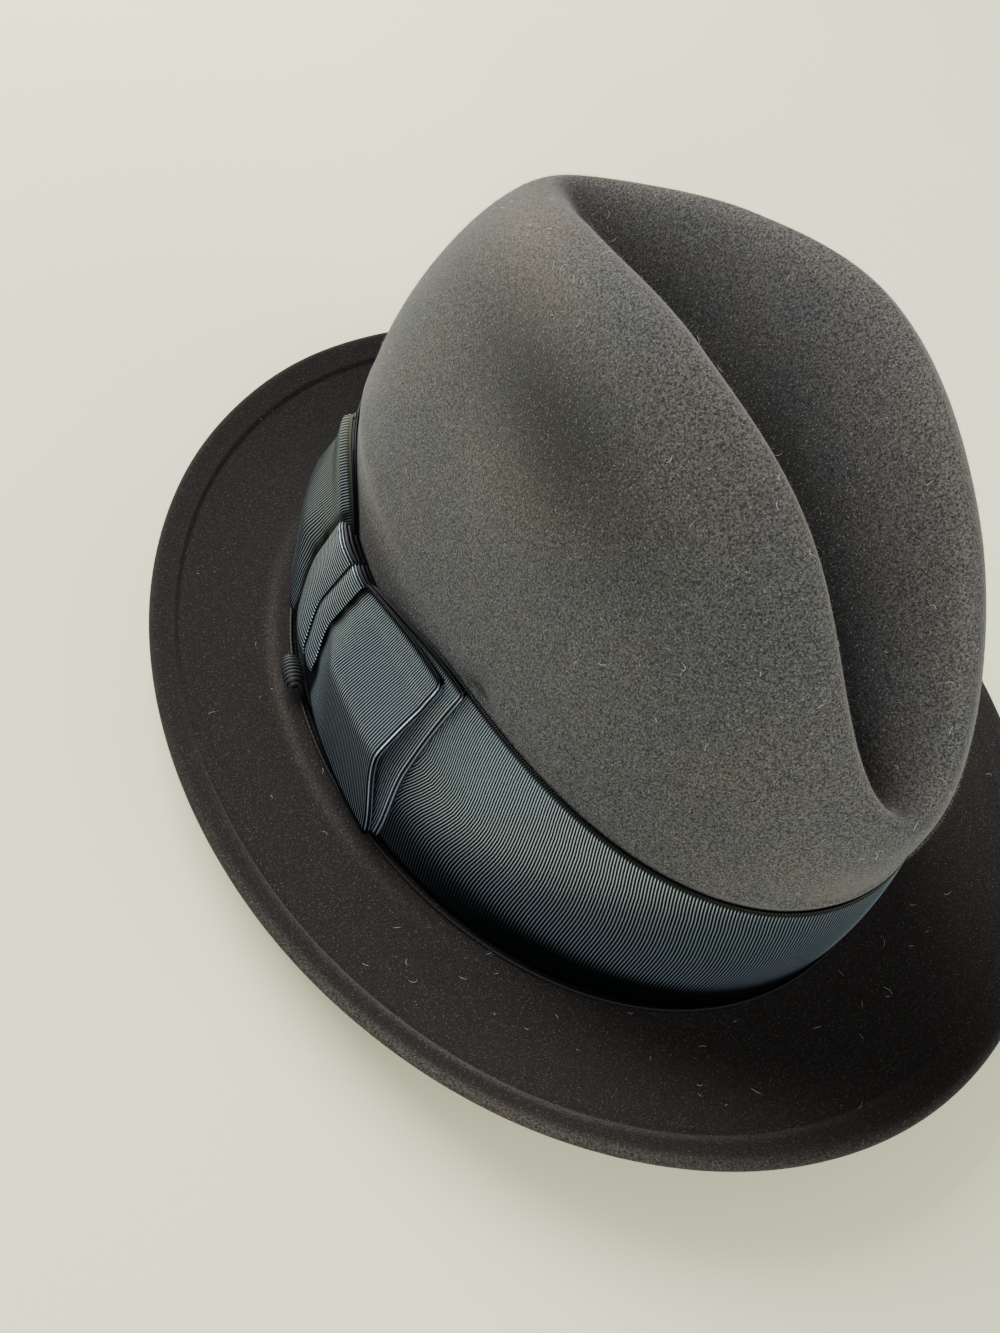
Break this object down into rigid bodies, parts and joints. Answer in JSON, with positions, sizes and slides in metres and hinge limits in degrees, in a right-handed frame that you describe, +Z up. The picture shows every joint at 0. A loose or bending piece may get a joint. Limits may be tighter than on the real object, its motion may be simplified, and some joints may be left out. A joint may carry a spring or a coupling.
{
  "type": "fedora hat",
  "caption": "Felt fedora with a teardrop crown and centre dent, curled welted brim, ribbon band, side bow and thin cord.",
  "frame": {"origin": "on the surface the brim rests on, under the middle of the hat's box", "axes": "+Z up, -Y the front of the hat, +X the wearer's left, where the bow is"},
  "size_m": [0.248, 0.2983, 0.1412],
  "materials": {
    "felt": "brushed fur felt",
    "ribbon": "ribbed grosgrain with a soft gloss",
    "cord": "wrapped thread"
  },
  "bodies": {
    "root": {"felt_body": "felt", "ribbon_band": "ribbon", "bow_wing_rear_lower": "ribbon", "bow_wing_rear_upper": "ribbon", "bow_wing_front_lower": "ribbon", "bow_wing_front_upper": "ribbon", "bow_knot": "ribbon", "wind_cord": "cord", "cord_button": "cord"}
  },
  "joints": []
}
